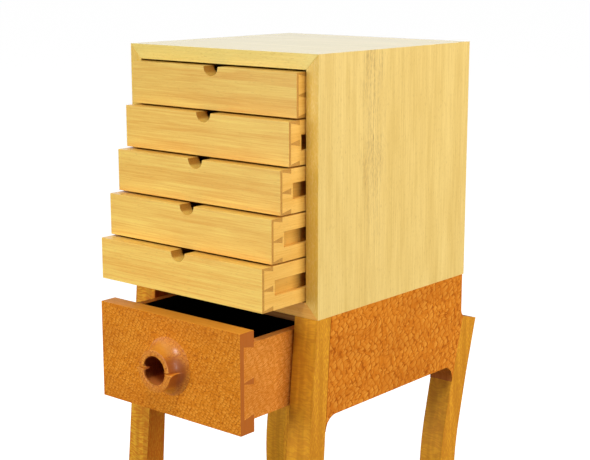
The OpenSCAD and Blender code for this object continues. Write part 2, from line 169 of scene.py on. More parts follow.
class CabinetStage(bpy.types.PropertyGroup):
    """Floor and light"""
    left: FloatProperty(name="Left lamp", description="Power of the large lamp in front on the left",
                        default=128, min=0, unit="POWER")
    right: FloatProperty(name="Right lamp", description="Power of the large lamp on the right",
                         default=128, min=0, unit="POWER")
    top: FloatProperty(name="Top lamp", description="Power of the small lamp overhead",
                       default=30, min=0, unit="POWER")
    sky: FloatProperty(name="Sky", description="Level of the even light from all round",
                       default=0.2, min=0, subtype="FACTOR")
    floor: colour("Floor", "#E4E4E4", "Colour of the floor")


# ---------- nodes and meshes ----------

def add(tree, kind, *values, named=None, **settings):
    """Adds a node with its settings. Values and links fill its inputs in order, then by name."""
    node = tree.nodes.new(kind)
    for key, value in settings.items():
        setattr(node, key, value)
    sockets = [socket for socket in node.inputs if socket.enabled]
    fills = list(zip(sockets, values))
    fills += [(next(s for s in sockets if s.name == name), value) for name, value in (named or {}).items()]
    for socket, value in fills:
        for item in value if isinstance(value, list) else [value]:
            if isinstance(item, bpy.types.Node):
                item = next(s for s in item.outputs if s.enabled)
            if isinstance(item, bpy.types.NodeSocket):
                tree.links.new(item, socket)
            else:
                socket.default_value = item
    return node


def solid_mesh(node):
    """A merged copy of a CAD node's mesh, with its flat faces whole."""
    bm = bmesh.new()
    bm.from_mesh(frame["nodes"][node].data)
    bmesh.ops.remove_doubles(bm, verts=bm.verts, dist=WELD)
    bmesh.ops.dissolve_limit(bm, angle_limit=math.radians(0.2), verts=bm.verts, edges=bm.edges)
    return bm


def eased(node, radius, material, where):
    """A piece that stands for a CAD node, with those outer edges rounded whose two ends pass a test."""
    bm = solid_mesh(node)
    edges = [e for e in bm.edges if e.is_manifold and e.is_convex and e.calc_face_angle() > ARRIS
             and where(e.verts[0].co, e.verts[1].co)]
    bmesh.ops.bevel(bm, geom=edges, offset=radius, segments=2, profile=0.5, affect="EDGES",
                    clamp_overlap=True)
    mesh = bpy.data.meshes.new(node + "_board")
    bm.to_mesh(mesh)
    bm.free()
    return dressed(mesh, node, material)


def dressed(mesh, node, material, smooth=8):
    """Makes a mesh the piece that is shown for a CAD node. Edges that turn by more degrees stay sharp."""
    mesh.shade_smooth()
    mesh.set_sharp_from_angle(angle=math.radians(smooth))
    mesh.materials.clear()
    mesh.materials.append(material)
    piece = bpy.data.objects.new(mesh.name, mesh)
    bpy.context.scene.collection.objects.link(piece)
    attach(piece, frame["nodes"][node]["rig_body"])
    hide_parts(node)
    return piece


def paint(nodes, material):
    """Gives CAD nodes that keep their own shape a finished material."""
    for node in nodes:
        for slot in frame["nodes"][node].material_slots:
            slot.material = material


# ---------- woods ----------

# Turns that lay the X axis along a board's grain
GRAIN_TURN = {"X": (0, 0, 0), "Y": (0, 0, math.radians(-90)), "Z": (0, math.radians(90), 0)}


def grain_space(tree, axis):
    """Object coordinates as they are, and in millimetres with X along the grain."""
    spot = add(tree, "ShaderNodeTexCoord")
    turned = add(tree, "ShaderNodeMapping", spot.outputs["Object"], (0, 0, 0), GRAIN_TURN[axis], (1000,) * 3)
    return spot, turned


def streaks(tree, space, size, low, high, strength=1.0, detail=2.0, rough=0.5):
    """Soft marks of a length, width and depth in millimetres, from 0 to a strength.

    A mark begins where the noise reaches low and is full at high. detail and rough are the noise's own."""
    fitted = add(tree, VECTOR, space, size, operation="DIVIDE")
    cloud = add(tree, "ShaderNodeTexNoise", fitted, 1.0, detail, rough)
    return add(tree, RANGE, cloud, low, high, 0.0, strength, interpolation_type="SMOOTHSTEP")


def facing(tree, spot, axis, low=0.6, high=0.85):
    """1 on faces square to an axis and 0 on the others."""
    parts = add(tree, "ShaderNodeSeparateXYZ", spot.outputs["Normal"])
    across = add(tree, MATH, parts.outputs["XYZ".index(axis)], operation="ABSOLUTE")
    return add(tree, RANGE, across, low, high, interpolation_type="SMOOTHSTEP")


def finish_wood(tree, body, height, depth, roughness, gloss, coat=0.0, coat_blur=0.24):
    """The shader of an oiled or lacquered wood, with its grain in relief to a depth in millimetres."""
    relief = add(tree, "ShaderNodeBump", named={"Strength": 1.0, "Distance": depth * MM, "Height": height})
    shader = add(tree, "ShaderNodeBsdfPrincipled", named={
        "Base Color": body, "Roughness": roughness, "IOR": 1.5, "Specular IOR Level": gloss,
        "Coat Weight": coat, "Coat Roughness": coat_blur, "Normal": relief})
    add(tree, "ShaderNodeOutputMaterial", shader)


def new_material(name):
    """A material with an empty node tree, and that tree."""
    material = bpy.data.materials.new(name)
    material.use_nodes = True
    material.node_tree.nodes.clear()
    return material, material.node_tree


def dark_streak(tree, spot, space, clouds, lines, middle, half, gone, full):
    """How strongly a mineral streak shows: short ticks on the growth lines, fading downwards.

    middle and half are its place and half width across the boards. It has faded to a fifth at the height
    gone, and is whole from the height full."""
    place = add(tree, "ShaderNodeSeparateXYZ", spot.outputs["Object"]).outputs
    # The clouds push the streak sideways by up to 20 mm, so its middle starts 10 mm to the other side
    across = add(tree, MATH, clouds, 0.12, place["Y"], operation="MULTIPLY_ADD")
    off = add(tree, MATH, across, middle + 10 * MM, operation="SUBTRACT")
    away = add(tree, MATH, off, operation="ABSOLUTE")
    inside = add(tree, RANGE, away, half * 1.2, half * 0.3, 0.0, 1.2, interpolation_type="SMOOTHSTEP")
    ticks = streaks(tree, space, (9, 1.3, 1.3), 0.38, 0.66, strength=1.4, detail=3.0, rough=0.6)
    lined = add(tree, MATH, inside, lines, operation="MULTIPLY")
    ticked = add(tree, MATH, lined, ticks, operation="MULTIPLY")
    fade = add(tree, RANGE, place["Z"], gone, full, 0.2, 1.0)
    return add(tree, MATH, ticked, fade, operation="MULTIPLY")


def straight_grained(name, axis, light, dark, end, line=1.7, band=24, open_pores=0.32, streak=None,
                     roughness=0.4, coat=0.0, top_coat=0.0, specks_and_bounce=0.0):
    """Quarter-sawn pale timber: fine straight growth lines, broad soft bands and short open pores.

    line and band are their widths in millimetres. Real growth lines are about half as wide, too fine to
    show. streak is the place of a mineral streak, as dark_streak takes it. top_coat is the polish that
    level faces get over the coat of the rest. The last setting is the strength of a deep yellow laid on
    faces that look forward: partly short marks where the boards are cut across their growth lines, and
    partly painted bounce light, the warm yellow that the woods around throw into their shade."""
    material, tree = new_material(name)
    spot, space = grain_space(tree, axis)
    lines = streaks(tree, space, (110, line, line), 0.32, 0.68, strength=0.62, detail=3.0, rough=0.7)
    bands = streaks(tree, space, (380, band, band), 0.32, 0.68, strength=0.42)
    clouds = streaks(tree, space, (60, 20, 20), 0.35, 0.75, strength=0.16)
    pores = streaks(tree, space, (8, 0.9, 0.9), 0.62, 0.74, strength=open_pores, detail=1.0)
    tone = add(tree, MATH, add(tree, MATH, lines, bands, operation="ADD"), clouds, operation="ADD")
    body = add(tree, MIX, tone, light, dark, data_type="RGBA")
    # Open pores look brown
    body = add(tree, MIX, pores, body, linear("#A87426"), data_type="RGBA")
    if streak:
        mineral = dark_streak(tree, spot, space, clouds, lines, *streak)
        body = add(tree, MIX, mineral, body, linear("#BA9454"), data_type="RGBA")
    # End grain shows as fine dots
    dots = streaks(tree, space, (1.2, 1.2, 1.2), 0.35, 0.65)
    cut = add(tree, MIX, add(tree, MATH, dots, 0.4, operation="MULTIPLY"), end, dark, data_type="RGBA")
    body = add(tree, MIX, facing(tree, spot, axis), body, cut, data_type="RGBA")
    # Painted bounce light: faces that look forward are laid with a deep yellow, partly short marks of the
    # figure and partly the warm light that the yellow woods throw into their shade
    flecks = streaks(tree, space, (5, 1.5, 1.5), 0.1, 0.62, strength=specks_and_bounce)
    marks = add(tree, MATH, facing(tree, spot, "Y"), flecks, operation="MULTIPLY")
    body = add(tree, MIX, marks, body, linear("#DAAC16"), data_type="RGBA")
    height = add(tree, MATH, lines, pores, operation="SUBTRACT")
    polish = add(tree, MATH, facing(tree, spot, "Z"), top_coat, coat, operation="MULTIPLY_ADD")
    finish_wood(tree, body, height, depth=0.08, roughness=roughness, gloss=0.3, coat=polish)
    return material


def cut_rays(tree, cells, lean):
    """The pale face of each cut ray and the dark edge on its lean side, over cells one unit across."""
    cell, second = (add(tree, "ShaderNodeTexVoronoi", cells, 1.0, named={"Randomness": 0.65},
                        distance="CHEBYCHEV", feature=nearest) for nearest in ("F1", "F2"))
    border = add(tree, MATH, second, cell, operation="SUBTRACT")
    # Every ray shows by an amount of its own
    lot = add(tree, "ShaderNodeSeparateColor", cell.outputs["Color"])
    weight = add(tree, RANGE, lot, 0.0, 0.6, 0.35, 1.0)
    off = add(tree, VECTOR, cells, cell.outputs["Position"], operation="SUBTRACT")
    side = add(tree, VECTOR, off, lean, operation="DOT_PRODUCT")
    soft = add(tree, RANGE, border, 0.05, 0.3, interpolation_type="SMOOTHSTEP")
    lit = add(tree, RANGE, side, -0.5, 0.1, 0.4, 1.0)
    face = add(tree, MATH, add(tree, MATH, soft, lit, operation="MULTIPLY"), weight, operation="MULTIPLY")
    rim = add(tree, RANGE, border, 0.3, 0.08, interpolation_type="SMOOTHSTEP")
    rim = add(tree, MATH, rim, weight, operation="MULTIPLY")
    edge = add(tree, MATH, rim, add(tree, RANGE, side, 0.1, 0.35), operation="MULTIPLY")
    return face, edge


def lacewood(name, axis, ground, fleck, line, size, end, turn=0.0, lean=(1.0, 0.0, -0.5), roughness=0.4,
             gloss=0.06, relief=0.012, **coating):
    """Quarter-sawn lacewood: pale cut rays like scales, each with a dark edge, in an orange ground.

    size is a ray's length along the grain, its thickness and its height in millimetres. turn tilts the
    rows of rays by degrees. lean points to the dark edge of each ray, in the same three directions. relief
    is how far the rays stand out, in millimetres."""
    material, tree = new_material(name)
    spot, space = grain_space(tree, axis)
    # The rows wander slowly by about a ray's length, and each ray's outline waves a little
    slow = add(tree, VECTOR, space, (48, 24, 30), operation="DIVIDE")
    drift = add(tree, "ShaderNodeTexNoise", slow, 1.0, 0.0)
    pushed = add(tree, VECTOR, drift.outputs["Color"], (1.2 * size[0],) * 3, space, operation="MULTIPLY_ADD")
    turned = add(tree, "ShaderNodeMapping", pushed, (0, 0, 0), (0, math.radians(turn), 0))
    fitted = add(tree, VECTOR, turned, size, operation="DIVIDE")
    wave = add(tree, "ShaderNodeTexNoise", fitted, 0.9, 1.0)
    cells = add(tree, VECTOR, wave.outputs["Color"], (0.7, 0.7, 0.7), fitted, operation="MULTIPLY_ADD")
    face, edge = cut_rays(tree, cells, lean)
    fibre = streaks(tree, space, (18, 1.1, 1.1), 0.45, 0.75, strength=0.25, detail=3.0, rough=0.6)
    clouds = streaks(tree, space, (140, 40, 40), 0.35, 0.7, strength=0.25)
    body = add(tree, MIX, face, ground, fleck, data_type="RGBA")
    body = add(tree, MIX, edge, body, line, data_type="RGBA")
    body = add(tree, MIX, fibre, body, line, data_type="RGBA")
    body = add(tree, MIX, clouds, body, line, data_type="RGBA")
    # Level faces are cut along the rays, so they show plain lines
    level = streaks(tree, space, (60, 2.5, 2.5), 0.3, 0.8, strength=0.5)
    plain = add(tree, MIX, level, fleck, ground, data_type="RGBA")
    body = add(tree, MIX, facing(tree, spot, "Z", 0.6, 1.0), body, plain, data_type="RGBA")
    # On end grain the rays are thin upright lines
    upright = streaks(tree, space, (1.6, 2.4, 50), 0.3, 0.75, strength=0.55)
    cut = add(tree, MIX, upright, end, line, data_type="RGBA")
    body = add(tree, MIX, facing(tree, spot, axis), body, cut, data_type="RGBA")
    height = add(tree, MATH, face, edge, operation="SUBTRACT")
    finish_wood(tree, body, height, relief, roughness, gloss, **coating)
    return material


def rippled(name, ground, light, dark, end, flecked=1.0):
    """Brown timber that stands upright: a fine ripple across the grain on the faces that look forward,
    and short pale flecks on the others. The faces that look forward are also painted paler, as painted light."""
    material, tree = new_material(name)
    spot, space = grain_space(tree, "Z")
    slow = add(tree, VECTOR, space, (26, 20, 20), operation="DIVIDE")
    drift = add(tree, "ShaderNodeTexNoise", slow, 1.0, 0.0)
    waved = add(tree, VECTOR, drift.outputs["Color"], (9, 9, 9), space, operation="MULTIPLY_ADD")
    ripple = streaks(tree, waved, (3.0, 14, 14), 0.38, 0.62, strength=0.7, detail=1.0)
    flecks = streaks(tree, space, (7, 1.6, 1.6), 0.46, 0.62, strength=flecked, detail=1.0)
    forward = facing(tree, spot, "Y")
    # Painted light: the faces that look forward are made paler, their ripple raised by 0.3
    figure = add(tree, MIX, forward, flecks, add(tree, MATH, ripple, 0.3, operation="ADD"))
    body = add(tree, MIX, figure, ground, light, data_type="RGBA")
    bands = streaks(tree, space, (200, 12, 12), 0.35, 0.65, strength=0.45)
    body = add(tree, MIX, bands, body, dark, data_type="RGBA")
    body = add(tree, MIX, facing(tree, spot, "Z"), body, end, data_type="RGBA")
    finish_wood(tree, body, figure, depth=0.03, roughness=0.4, gloss=0.06)
    return material


def black_flock():
    """Flocking, short fibres blown on glue: a dead black with a faint bloom at a low angle.

    Its tufts are drawn 1.5 mm wide, because the fibres are too fine to show."""
    material, tree = new_material("black_flocking")
    pile = streaks(tree, grain_space(tree, "X")[1], (1.5, 1.5, 1.5), 0.3, 0.7)
    relief = add(tree, "ShaderNodeBump", named={"Strength": 1.0, "Distance": 0.3 * MM, "Height": pile})
    body = add(tree, MIX, pile, linear("#141312"), linear("#1F1D1B"), data_type="RGBA")
    shader = add(tree, "ShaderNodeBsdfPrincipled", named={
        "Base Color": body, "Roughness": 1.0, "Specular IOR Level": 0.0, "Sheen Weight": 0.05,
        "Normal": relief})
    add(tree, "ShaderNodeOutputMaterial", shader)
    return material


def dull_wood(name, axis, light, dark):
    """Planed timber left bare, as inside a drawer frame: matt, with plain lines."""
    material, tree = new_material(name)
    lines = streaks(tree, grain_space(tree, axis)[1], (110, 2.2, 2.2), 0.3, 0.7, detail=3.0, rough=0.6)
    body = add(tree, MIX, lines, light, dark, data_type="RGBA")
    finish_wood(tree, body, lines, depth=0.05, roughness=0.6, gloss=0.2)
    return material


def zinc_plated():
    """Bright zinc on steel: a grey metal, a little blotchy where the plating varies."""
    material, tree = new_material("zinc_plated_steel")
    blotch = streaks(tree, grain_space(tree, "X")[1], (3, 3, 3), 0.3, 0.7, detail=3.0)
    body = add(tree, MIX, blotch, linear("#B9B6AC"), linear("#8F8D85"), data_type="RGBA")
    shader = add(tree, "ShaderNodeBsdfPrincipled", named={
        "Base Color": body, "Metallic": 1.0, "Roughness": 0.35})
    add(tree, "ShaderNodeOutputMaterial", shader)
    return material


def birch_panel(roughness):
    """Birch plywood, sanded and sealed: pale and even, with faint lines and a low sheen."""
    return straight_grained("sealed_birch_panel", "X", linear("#EBD29A"), linear("#DDBB78"),
                            linear("#C9A562"), roughness=roughness)


# ---------- pieces ----------

def near(value, target, slack=0.3 * MM):
    """Whether two places are the same, to a slack."""
    return abs(value - target) < slack


class CABINET_OT_case(bpy.types.Operator):
    """Eases the mitred case boards and gives the case its pale timber"""
    bl_idname = "cabinet.case"
    bl_label = "Case"

    def execute(self, context):
        woods, shapes = context.scene.cabinet_woods, context.scene.cabinet_shapes
        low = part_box("case_bottom")[0]
        # The sides' mineral streak stands 130 mm behind the front and runs out in their lower half
        streak = (low.y + 130 * MM, 30 * MM, low.z + 80 * MM, low.z + 240 * MM)
        end = linear("#DDBA6C")
        # Pale and satin on the sides, and brighter on the polished top, which mirrors the lamp at the right
        upright = straight_grained("quarter_sawn_timber_upright", "Z", woods.case_light, woods.case_dark, end,
                                   streak=streak, coat=0.1, specks_and_bounce=0.62)
        level = straight_grained("quarter_sawn_timber_level", "X", woods.top_light, woods.top_dark, end,
                                 coat=0.1, top_coat=0.9, specks_and_bounce=0.22)
        # Painted shade and bounce light: the bottom board is redder, for its front edge that lies in shade
        # under the drawers and takes orange light off the lacewood
        under = straight_grained("quarter_sawn_timber_under_painted_bounce", "X", woods.bottom_painted_bounce_light, woods.bottom_painted_bounce_dark, end)

        def on_front(a, b):
            return near(a.y, low.y) and near(b.y, low.y)

        for node, timber in zip(CASE_BOARDS, (level, under, upright, upright)):
            eased(node, shapes.board_ease, timber, on_front)
        paint(["case_back"], birch_panel(0.5))
        # Rubbed with wax, so the golden timber keeps a soft shine
        paint(["runners_left", "runners_right"],
              straight_grained("waxed_runner_timber", "Y", woods.front_light, woods.front_dark,
                               linear("#B98A3C")))
        return {"FINISHED"}


# Each small front has its own material, and the lower ones are painted paler, as painted light where the
# lamps reach them less
FRONT_PAINTED_LIGHT = (0.98, 1.05, 1.06, 1.10, 1.17)
# The finger notch's edges lie within this of the front's middle and of its top
NOTCH_REACH = 16 * MM


class CABINET_OT_small_drawers(bpy.types.Operator):
    """Eases the small drawers' fronts, notches and sides, and gives them, their backs and their bottoms their
    timbers
    """
    bl_idname = "cabinet.small_drawers"
    bl_label = "Small drawers"

    def execute(self, context):
        woods, shapes = context.scene.cabinet_woods, context.scene.cabinet_shapes
        # Amber and satin, with closer bands than the fronts
        side, back = (straight_grained(f"amber_drawer_{part}_timber", axis, woods.side_light, woods.side_dark,
                                       linear("#C28C3A"), line=1.9, band=12, roughness=0.45)
                      for part, axis in (("side", "Y"), ("back", "X")))
        panel = birch_panel(0.5)
        for i in range(1, DRAWERS + 1):
            low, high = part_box(f"drawer_{i}_front")
            tone = FRONT_PAINTED_LIGHT[i - 1]
            # Golden, with few open pores, and polished on its top edge
            face = straight_grained(f"golden_front_timber_{i}", "X", toned(woods.front_light, tone),
                                    toned(woods.front_dark, tone), linear("#B98030"), line=2.0, band=16,
                                    open_pores=0.2, coat=0.03, top_coat=0.45)

            def on_face(a, b):
                edge_on = near(a.y, low.y) and near(b.y, low.y)
                notch = near(a.y, b.y) and max(abs(a.x), abs(b.x), high.z - a.z) < NOTCH_REACH
                return edge_on or notch

            def on_top(a, b):
                return near(a.z, high.z) and near(b.z, high.z) and near(a.x, b.x)

            eased(f"drawer_{i}_front", shapes.board_ease, face, on_face)
            for hand in ("left", "right"):
                eased(f"drawer_{i}_side_{hand}", shapes.board_ease, side, on_top)
            paint([f"drawer_{i}_back"], back)
            paint([f"drawer_{i}_bottom"], panel)
        return {"FINISHED"}


def front_lacewood(woods, name, **finish):
    """The lacewood of the deep drawer front and its pull, which are cut from one board."""
    cell = woods.front_cell / MM
    return lacewood(name, "X", woods.front_ground, woods.front_fleck, woods.front_line,
                    (cell, cell * 0.25, cell * 0.62), linear("#B4662A"), turn=-25, **finish)


def line_inside(piece, lining, low, high):
    """Gives the faces round the inside of a drawer a second material, cut along the inside's edges."""
    bm = bmesh.new()
    bm.from_mesh(piece.data)
    middle = (low + high) / 2

    def on_wall(face, k):
        spot = face.calc_center_median()[k]
        return (abs(face.normal[k]) > 0.99 and (near(spot, low[k]) or near(spot, high[k]))
                and face.normal[k] * (middle[k] - spot) > 0)

    for k in range(3):
        for other in {0, 1, 2} - {k}:
            for corner in (low, high):
                faces = [f for f in bm.faces if on_wall(f, k)]
                around = [part for f in faces for part in (*f.edges, *f.verts)]
                aim = Vector((0, 0, 0))
                aim[other] = 1
                bmesh.ops.bisect_plane(bm, geom=faces + list(dict.fromkeys(around)), dist=WELD,
                                       plane_co=corner, plane_no=aim)
        for face in bm.faces:
            spot = face.calc_center_median()
            if on_wall(face, k) and all(low[n] < spot[n] < high[n] for n in {0, 1, 2} - {k}):
                face.material_index = 1
    bm.to_mesh(piece.data)
    bm.free()
    piece.data.materials.append(lining)


class CABINET_OT_deep_drawer(bpy.types.Operator):
    """Eases the deep drawer's boards and gives them their lacewood"""
    bl_idname = "cabinet.deep_drawer"
    bl_label = "Deep drawer"

    def execute(self, context):
        woods, shapes = context.scene.cabinet_woods, context.scene.cabinet_shapes
        low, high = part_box("deep_front")
        side_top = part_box("deep_side_left")[1].z

        def on_face(a, b):
            face = near(a.y, low.y) and near(b.y, low.y)
            rim = near(a.z, b.z) and (near(a.z, low.z) or near(a.z, high.z)) and near(a.y, b.y)
            return face or rim

        def on_top(a, b):
            return near(a.z, side_top) and near(b.z, side_top) and near(a.x, b.x)

        lining = black_flock()
        inside = (Vector((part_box("deep_side_left")[1].x, high.y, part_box("deep_bottom")[1].z)),
                  Vector((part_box("deep_side_right")[0].x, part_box("deep_back")[0].y, side_top)))
        # Oiled: warm orange, with long thin rays on the sides and scales on the front
        sides, back = (lacewood(f"oiled_lacewood_drawer_{part}", axis, woods.deep_ground, woods.deep_fleck,
                                woods.deep_line, (12.0, 1.5, 1.9), linear("#B06522"), turn=20,
                                lean=(0.2, 0.0, -1.0)) for part, axis in (("side", "Y"), ("back", "X")))
        board = front_lacewood(woods, "oiled_lacewood_drawer_front")
        for node, material, where in (("deep_front", board, on_face), ("deep_side_left", sides, on_top),
                                      ("deep_side_right", sides, on_top), ("deep_back", back, on_top),
                                      ("deep_bottom", birch_panel(0.4), on_top)):
            line_inside(eased(node, shapes.board_ease, material, where), lining, *inside)
        return {"FINISHED"}


# The side aprons' curved under edge lies lower than this below the case
APRON_DROP = 150 * MM


def joint_free(a, b):
    """Not an edge where an apron is glued to a leg: those run steeply."""
    return abs(a.y - b.y) > 0.4 * abs(a.z - b.z)


class CABINET_OT_stand(bpy.types.Operator):
    """Eases the legs and aprons and gives the stand its timbers"""
    bl_idname = "cabinet.stand"
    bl_label = "Stand"

    def execute(self, context):
        woods, shapes = context.scene.cabinet_woods, context.scene.cabinet_shapes
        end = linear("#A86A1C")
        # Oiled brown. The front left leg has less figure, and is painted redder as painted shade, for the
        # shade that falls on its side under the deep drawer
        leg = rippled("oiled_brown_leg_timber", woods.leg_ground, woods.leg_fleck, woods.leg_line, end)
        red_shade_leg = rippled("oiled_leg_timber_red_painted_shade", woods.red_shade_ground, woods.red_shade_fleck, woods.red_shade_line,
                          end, flecked=0.35)
        cell = woods.apron_cell / MM
        apron, cross = (lacewood(name, axis, woods.apron_ground, woods.apron_fleck, woods.apron_line,
                                 (cell, cell * 0.35, cell * 0.65), linear("#C0702A"), turn=25)
                        for name, axis in (("oiled_lacewood_apron", "Y"), ("oiled_lacewood_rear_apron", "X")))
        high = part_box("leg_front_left")[1].z

        def off_top(a, b):
            return not (near(a.z, high) and near(b.z, high))

        def long_arris(a, b):
            return off_top(a, b) and not near(a.z, b.z, 0.1 * MM)

        for node in LEGS:
            eased(node, shapes.leg_ease, red_shade_leg if node == "leg_front_left" else leg, long_arris)

        def on_curve(a, b):
            return near(a.x, b.x) and max(a.z, b.z) < high - APRON_DROP and joint_free(a, b)

        for node in ("apron_left", "apron_right"):
            eased(node, shapes.board_ease, apron, on_curve)
        eased("apron_rear", shapes.board_ease, cross, lambda a, b: off_top(a, b) and near(a.z, b.z))
        # Left bare where the drawer hides it, and painted dark brown as painted shade, for the shade under
        # the case
        paint(RAILS, dull_wood("planed_frame_timber_painted_shade", "X", linear("#A06A30"), linear("#7E4E20")))
        return {"FINISHED"}


# ---------- Geometry Nodes ----------

def grown(name, tree, values, points=()):
    """Runs a node tree on an object and gives back the mesh that it makes.

    points is a list of (place, aim), each a vertex with a direction."""
    mesh = bpy.data.meshes.new(name)
    mesh.from_pydata([place for place, aim in points], [], [])
    if points:
        aims = mesh.attributes.new("aim", "FLOAT_VECTOR", "POINT")
        aims.data.foreach_set("vector", [v for place, aim in points for v in aim])
    holder = bpy.data.objects.new(name + "_holder", mesh)
    bpy.context.scene.collection.objects.link(holder)
    modifier = holder.modifiers.new("build", "NODES")
    modifier.node_group = tree
    for item in tree.interface.items_tree:
        if item.in_out == "INPUT" and item.name in values:
            modifier[item.identifier] = values[item.name]
    result = holder.evaluated_get(bpy.context.evaluated_depsgraph_get())
    grown_mesh = bpy.data.meshes.new_from_object(result)
    grown_mesh.name = name
    holder.modifiers.remove(modifier)
    bpy.data.objects.remove(holder)
    return grown_mesh


def new_tree(name, sizes):
    """A node tree with named number inputs and one geometry in and out."""
    tree = bpy.data.node_groups.new(name, "GeometryNodeTree")
    tree.interface.new_socket("Geometry", in_out="INPUT", socket_type="NodeSocketGeometry")
    tree.interface.new_socket("Geometry", in_out="OUTPUT", socket_type="NodeSocketGeometry")
    for size in sizes:
        tree.interface.new_socket(size, in_out="INPUT", socket_type="NodeSocketFloat")
    return tree, add(tree, "NodeGroupInput").outputs


def finish_tree(tree, geometry, material):
    """Ends a tree with plain geometry in one material."""
    real = add(tree, "GeometryNodeRealizeInstances", geometry)
    add(tree, "NodeGroupOutput", add(tree, "GeometryNodeSetMaterial", real, named={"Material": material}))


# Rows of the pull's grid: the middle of the bore's bottom, the bore's wall, the horn, then the spigot
# with its screw hole and the middle of the hole's bottom
BORE_ROWS = 17
HORN_ROWS = 40
SPIGOT_ROWS = 5
# How far round its curve the horn goes: at 90 degrees it would run out flat on the drawer front
FLARE_TURN = math.radians(70)


def horn_tree(sizes, around, material):
    """The pull as one grid bent by rule: round the bore by angle, and from bore to flare by row."""
    tree, size = new_tree("horn_pull", sizes)
    rows = 1 + BORE_ROWS + HORN_ROWS + SPIGOT_ROWS
    grid = add(tree, "GeometryNodeMeshGrid", 1.0, 1.0, around + 1, rows + 1)
    place = add(tree, "ShaderNodeSeparateXYZ", add(tree, "GeometryNodeInputPosition"))
    angle = add(tree, MATH, place.outputs["X"], 360.0, 180.0, operation="MULTIPLY_ADD")
    row = add(tree, MATH, place.outputs["Y"], float(rows), rows / 2, operation="MULTIPLY_ADD")
    spin = add(tree, MATH, angle, operation="RADIANS")
    up = add(tree, MATH, spin, operation="SINE")
    right = add(tree, MATH, spin, operation="COSINE")
    # Degrees from the nearer corner, where the two lips meet, and 1 on the lower lip
    corner = add(tree, MATH, angle, 90.0, operation="PINGPONG")
    lower = add(tree, RANGE, up, -0.0035, -0.0314, interpolation_type="SMOOTHSTEP")

    # The bore goes in from the rim, in rows that widen. Within about 9 degrees of a corner its mouth is
    # opened by 1.5 mm, and a ridge stands out behind that
    inward = add(tree, RANGE, row, 1.0 + BORE_ROWS, 1.0)
    deep = add(tree, MATH, add(tree, MATH, inward, 1.6, operation="POWER"), size["Bore depth"],
               operation="MULTIPLY")
    close = add(tree, MATH, add(tree, MATH, corner, -9.0, operation="DIVIDE"), operation="EXPONENT")
    mouth = add(tree, RANGE, deep, 0.0, 3 * MM, 1.5 * MM, 0.0)
    ridge = add(tree, MATH, add(tree, RANGE, deep, 0.0, 4 * MM, 0.0, size["Bore ridge"]),
                add(tree, RANGE, deep, 5 * MM, 14 * MM, 1.0, 0.2), operation="MULTIPLY")
    slit = add(tree, RANGE, corner, 0.5, 3.0, size["Slit"], 0.0, interpolation_type="SMOOTHSTEP")
    bore = add(tree, MATH, close, add(tree, MATH, mouth, ridge, operation="SUBTRACT"), size["Bore"],
               operation="MULTIPLY_ADD")

    # The horn sweeps round from the lips to the flare. The lower lip stands out by a step, and curls out
    # within about 6.5 degrees of a corner. Both die away along the horn
    turn = add(tree, RANGE, row, 2.0 + BORE_ROWS, 1.0 + BORE_ROWS + HORN_ROWS, 0.0, FLARE_TURN)
    along = add(tree, MATH, turn, operation="SINE")
    fade = add(tree, MATH, add(tree, RANGE, along, 0.0, 0.8, 1.0, 0.0), 1.5, operation="POWER")
    sharp = add(tree, MATH, add(tree, MATH, corner, -6.5, operation="DIVIDE"), operation="EXPONENT")
    curl = add(tree, MATH, size["Lip curl"], sharp, size["Lip step"], operation="MULTIPLY_ADD")
    step = add(tree, MATH, add(tree, MATH, lower, curl, operation="MULTIPLY"), slit, operation="SUBTRACT")
    lip = add(tree, MATH, step, fade, size["Upper lip"], operation="MULTIPLY_ADD")
    horn = add(tree, RANGE, add(tree, MATH, turn, operation="COSINE"), 1.0, math.cos(FLARE_TURN), lip,
               size["Flare"])

    # Each stretch of rows takes over from the one before it: the radius and the distance behind the rim
    out = add(tree, RANGE, along, 0.0, math.sin(FLARE_TURN), 0.0, size["Length"])
    end = add(tree, MATH, size["Length"], size["Spigot length"], operation="ADD")
    hole = add(tree, MATH, end, size["Hole length"], operation="SUBTRACT")
    radius = add(tree, MATH, bore, add(tree, MATH, row, 0.5, operation="GREATER_THAN"), operation="MULTIPLY")
    back = deep
    for last, wide, far in ((0, horn, out), (HORN_ROWS, size["Spigot"], size["Length"]),
                            (1 + HORN_ROWS, size["Spigot"], end), (2 + HORN_ROWS, size["Hole"], end),
                            (3 + HORN_ROWS, size["Hole"], hole), (4 + HORN_ROWS, 0.0, hole)):
        past = add(tree, MATH, row, 1.5 + BORE_ROWS + last, operation="GREATER_THAN")
        radius = add(tree, RANGE, past, 0.0, 1.0, radius, wide)
        back = add(tree, RANGE, past, 0.0, 1.0, back, far)
    back = add(tree, MATH, back, slit, operation="MAXIMUM")
    rim = add(tree, MATH, size["Face"], size["Length"], operation="SUBTRACT")
    point = add(tree, "ShaderNodeCombineXYZ", add(tree, MATH, radius, right, operation="MULTIPLY"),
                add(tree, MATH, back, rim, operation="ADD"),
                add(tree, MATH, radius, up, size["Height"], operation="MULTIPLY_ADD"))
    bent = add(tree, "GeometryNodeSetPosition", grid, named={"Position": point})
    whole = add(tree, "GeometryNodeMergeByDistance", bent, named={"Distance": 2 * WELD})
    finish_tree(tree, whole, material)
    return tree


